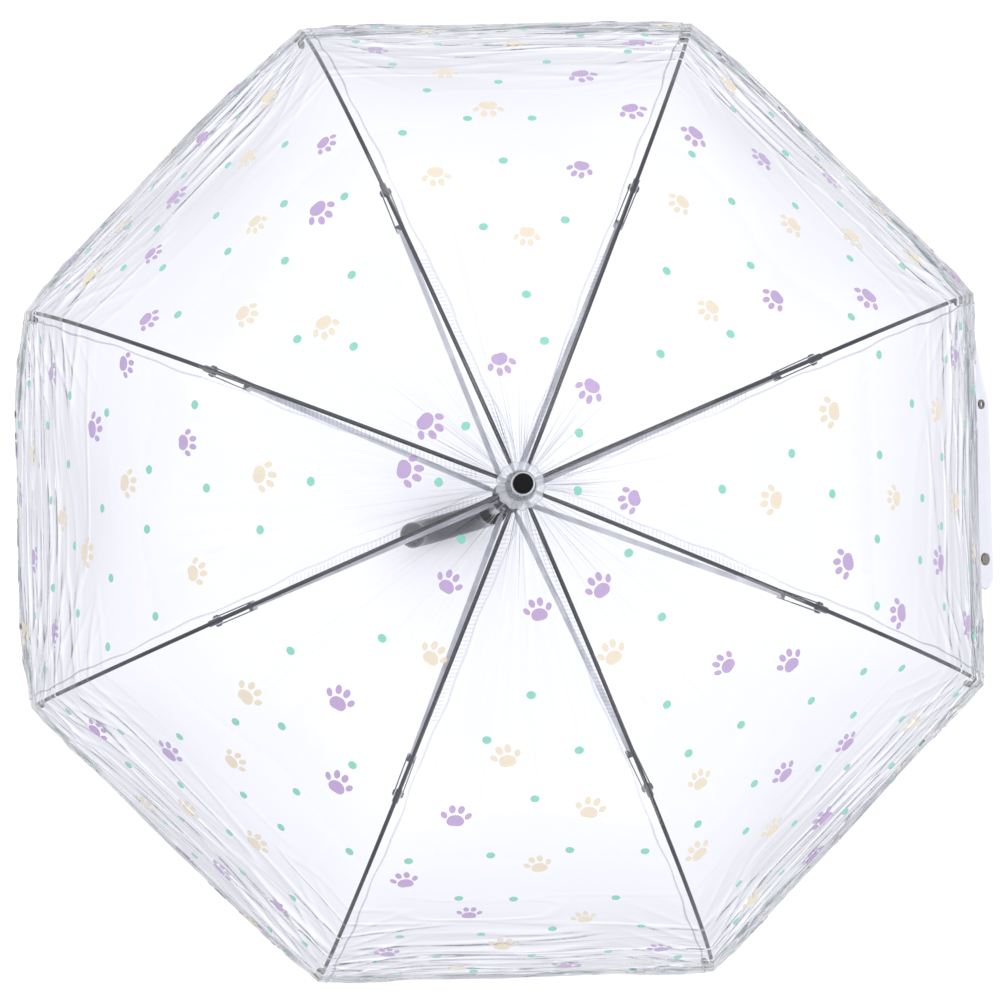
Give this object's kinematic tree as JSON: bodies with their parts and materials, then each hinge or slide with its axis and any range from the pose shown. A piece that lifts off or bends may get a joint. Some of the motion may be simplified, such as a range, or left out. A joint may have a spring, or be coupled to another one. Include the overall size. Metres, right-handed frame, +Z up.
{
  "type": "clear bubble umbrella",
  "caption": "Clear dome umbrella with hinged ribs and stretchers on a sliding runner, film canopy, closing strap and crook handle.",
  "frame": {"origin": "on the shaft axis, in the middle of the straight hand grip", "axes": "+Z up the shaft to the ferrule; +X through the middle of the gore that carries the closing strap"},
  "size_m": [0.7839, 0.763, 0.8649],
  "materials": {
    "shaft": "bright plated steel tube",
    "rib_steel": "dark enamelled steel rod",
    "stretcher_steel": "zinc-plated pressed steel",
    "crown_plastic": "black moulded plastic",
    "ferrule_metal": "bright plated metal",
    "cap_plastic": "black gloss plastic",
    "wire": "drawn wire",
    "handle_plastic": "charcoal moulded plastic",
    "film": "clear soft vinyl film",
    "strap_vinyl": "clear vinyl strap",
    "snap_metal": "antiqued steel snap"
  },
  "bodies": {
    "shaft": {"shaft_tube": "shaft", "ferrule": "ferrule_metal", "ferrule_cap": "cap_plastic", "canopy_washer": "film", "top_notch": "crown_plastic", "crown_ring": "wire", "crown_pin": "wire", "runner_stop": "wire", "handle": "handle_plastic", "handle_collar": "cap_plastic"},
    "runner": {"runner_sleeve": "crown_plastic", "runner_notch": "crown_plastic", "runner_ring": "wire"},
    "top_catch": {"top_spring": "wire"},
    "bottom_catch": {"bottom_spring": "wire"},
    "rib_1": {"rib_1": "rib_steel", "rib_tip_1": "cap_plastic", "rib_joint_1": "rib_steel", "canopy_panel_1": "film", "closure_strap": "strap_vinyl", "snap_cap": "snap_metal", "snap_socket": "snap_metal"},
    "stretcher_1": {"stretcher_1": "stretcher_steel"},
    "rib_2": {"rib_2": "rib_steel", "rib_tip_2": "cap_plastic", "rib_joint_2": "rib_steel", "canopy_panel_2": "film"},
    "stretcher_2": {"stretcher_2": "stretcher_steel"},
    "rib_3": {"rib_3": "rib_steel", "rib_tip_3": "cap_plastic", "rib_joint_3": "rib_steel", "canopy_panel_3": "film"},
    "stretcher_3": {"stretcher_3": "stretcher_steel"},
    "rib_4": {"rib_4": "rib_steel", "rib_tip_4": "cap_plastic", "rib_joint_4": "rib_steel", "canopy_panel_4": "film"},
    "stretcher_4": {"stretcher_4": "stretcher_steel"},
    "rib_5": {"rib_5": "rib_steel", "rib_tip_5": "cap_plastic", "rib_joint_5": "rib_steel", "canopy_panel_5": "film"},
    "stretcher_5": {"stretcher_5": "stretcher_steel"},
    "rib_6": {"rib_6": "rib_steel", "rib_tip_6": "cap_plastic", "rib_joint_6": "rib_steel", "canopy_panel_6": "film"},
    "stretcher_6": {"stretcher_6": "stretcher_steel"},
    "rib_7": {"rib_7": "rib_steel", "rib_tip_7": "cap_plastic", "rib_joint_7": "rib_steel", "canopy_panel_7": "film"},
    "stretcher_7": {"stretcher_7": "stretcher_steel"},
    "rib_8": {"rib_8": "rib_steel", "rib_tip_8": "cap_plastic", "rib_joint_8": "rib_steel", "canopy_panel_8": "film"},
    "stretcher_8": {"stretcher_8": "stretcher_steel"}
  },
  "joints": [
    {"name": "runner_slide", "type": "slide", "parent": "shaft", "child": "runner", "axis": [0, 0, -1], "range_m": [0, 0.20898]},
    {"name": "top_catch_press", "type": "hinge", "parent": "shaft", "child": "top_catch", "pos_m": [0.00365, 0, 0.3885], "axis": [0, -1, 0], "range_deg": [0, 5], "stiffness_Nm_per_rad": 0.3, "springref_deg": -2.29},
    {"name": "bottom_catch_press", "type": "hinge", "parent": "shaft", "child": "bottom_catch", "pos_m": [0.00365, 0, 0.20652], "axis": [0, -1, 0], "range_deg": [0, 5], "stiffness_Nm_per_rad": 0.3, "springref_deg": -2.29},
    {"name": "rib_hinge_1", "type": "hinge", "parent": "shaft", "child": "rib_1", "pos_m": [0.00831, 0.00344, 0.73], "axis": [-0.3827, 0.9239, 0], "range_deg": [0, 41.01], "deforming": ["canopy_panel_1", "closure_strap", "snap_cap", "snap_socket"]},
    {"name": "stretcher_hinge_1", "type": "hinge", "parent": "runner", "child": "stretcher_1", "pos_m": [0.00924, 0.00383, 0.475], "axis": [0.3827, -0.9239, 0], "range_deg": [0, 27.96]},
    {"name": "rib_hinge_2", "type": "hinge", "parent": "shaft", "child": "rib_2", "pos_m": [0.00344, 0.00831, 0.73], "axis": [-0.9239, 0.3827, 0], "range_deg": [0, 41.01], "deforming": ["canopy_panel_2"]},
    {"name": "stretcher_hinge_2", "type": "hinge", "parent": "runner", "child": "stretcher_2", "pos_m": [0.00383, 0.00924, 0.475], "axis": [0.9239, -0.3827, 0], "range_deg": [0, 27.96]},
    {"name": "rib_hinge_3", "type": "hinge", "parent": "shaft", "child": "rib_3", "pos_m": [-0.00344, 0.00831, 0.73], "axis": [-0.9239, -0.3827, 0], "range_deg": [0, 41.01], "deforming": ["canopy_panel_3"]},
    {"name": "stretcher_hinge_3", "type": "hinge", "parent": "runner", "child": "stretcher_3", "pos_m": [-0.00383, 0.00924, 0.475], "axis": [0.9239, 0.3827, 0], "range_deg": [0, 27.96]},
    {"name": "rib_hinge_4", "type": "hinge", "parent": "shaft", "child": "rib_4", "pos_m": [-0.00831, 0.00344, 0.73], "axis": [-0.3827, -0.9239, 0], "range_deg": [0, 41.01], "deforming": ["canopy_panel_4"]},
    {"name": "stretcher_hinge_4", "type": "hinge", "parent": "runner", "child": "stretcher_4", "pos_m": [-0.00924, 0.00383, 0.475], "axis": [0.3827, 0.9239, 0], "range_deg": [0, 27.96]},
    {"name": "rib_hinge_5", "type": "hinge", "parent": "shaft", "child": "rib_5", "pos_m": [-0.00831, -0.00344, 0.73], "axis": [0.3827, -0.9239, 0], "range_deg": [0, 41.01], "deforming": ["canopy_panel_5"]},
    {"name": "stretcher_hinge_5", "type": "hinge", "parent": "runner", "child": "stretcher_5", "pos_m": [-0.00924, -0.00383, 0.475], "axis": [-0.3827, 0.9239, 0], "range_deg": [0, 27.96]},
    {"name": "rib_hinge_6", "type": "hinge", "parent": "shaft", "child": "rib_6", "pos_m": [-0.00344, -0.00831, 0.73], "axis": [0.9239, -0.3827, 0], "range_deg": [0, 41.01], "deforming": ["canopy_panel_6"]},
    {"name": "stretcher_hinge_6", "type": "hinge", "parent": "runner", "child": "stretcher_6", "pos_m": [-0.00383, -0.00924, 0.475], "axis": [-0.9239, 0.3827, 0], "range_deg": [0, 27.96]},
    {"name": "rib_hinge_7", "type": "hinge", "parent": "shaft", "child": "rib_7", "pos_m": [0.00344, -0.00831, 0.73], "axis": [0.9239, 0.3827, 0], "range_deg": [0, 41.01], "deforming": ["canopy_panel_7"]},
    {"name": "stretcher_hinge_7", "type": "hinge", "parent": "runner", "child": "stretcher_7", "pos_m": [0.00383, -0.00924, 0.475], "axis": [-0.9239, -0.3827, 0], "range_deg": [0, 27.96]},
    {"name": "rib_hinge_8", "type": "hinge", "parent": "shaft", "child": "rib_8", "pos_m": [0.00831, -0.00344, 0.73], "axis": [0.3827, 0.9239, 0], "range_deg": [0, 41.01], "deforming": ["canopy_panel_8"]},
    {"name": "stretcher_hinge_8", "type": "hinge", "parent": "runner", "child": "stretcher_8", "pos_m": [0.00924, -0.00383, 0.475], "axis": [-0.3827, -0.9239, 0], "range_deg": [0, 27.96]}
  ],
  "couplings": [
    {"joint": "rib_hinge_1", "follows": "runner_slide", "rad_per_m": 3.4242},
    {"joint": "stretcher_hinge_1", "follows": "runner_slide", "rad_per_m": 2.3341},
    {"joint": "rib_hinge_2", "follows": "runner_slide", "rad_per_m": 3.4242},
    {"joint": "stretcher_hinge_2", "follows": "runner_slide", "rad_per_m": 2.3341},
    {"joint": "rib_hinge_3", "follows": "runner_slide", "rad_per_m": 3.4242},
    {"joint": "stretcher_hinge_3", "follows": "runner_slide", "rad_per_m": 2.3341},
    {"joint": "rib_hinge_4", "follows": "runner_slide", "rad_per_m": 3.4242},
    {"joint": "stretcher_hinge_4", "follows": "runner_slide", "rad_per_m": 2.3341},
    {"joint": "rib_hinge_5", "follows": "runner_slide", "rad_per_m": 3.4242},
    {"joint": "stretcher_hinge_5", "follows": "runner_slide", "rad_per_m": 2.3341},
    {"joint": "rib_hinge_6", "follows": "runner_slide", "rad_per_m": 3.4242},
    {"joint": "stretcher_hinge_6", "follows": "runner_slide", "rad_per_m": 2.3341},
    {"joint": "rib_hinge_7", "follows": "runner_slide", "rad_per_m": 3.4242},
    {"joint": "stretcher_hinge_7", "follows": "runner_slide", "rad_per_m": 2.3341},
    {"joint": "rib_hinge_8", "follows": "runner_slide", "rad_per_m": 3.4242},
    {"joint": "stretcher_hinge_8", "follows": "runner_slide", "rad_per_m": 2.3341}
  ]
}
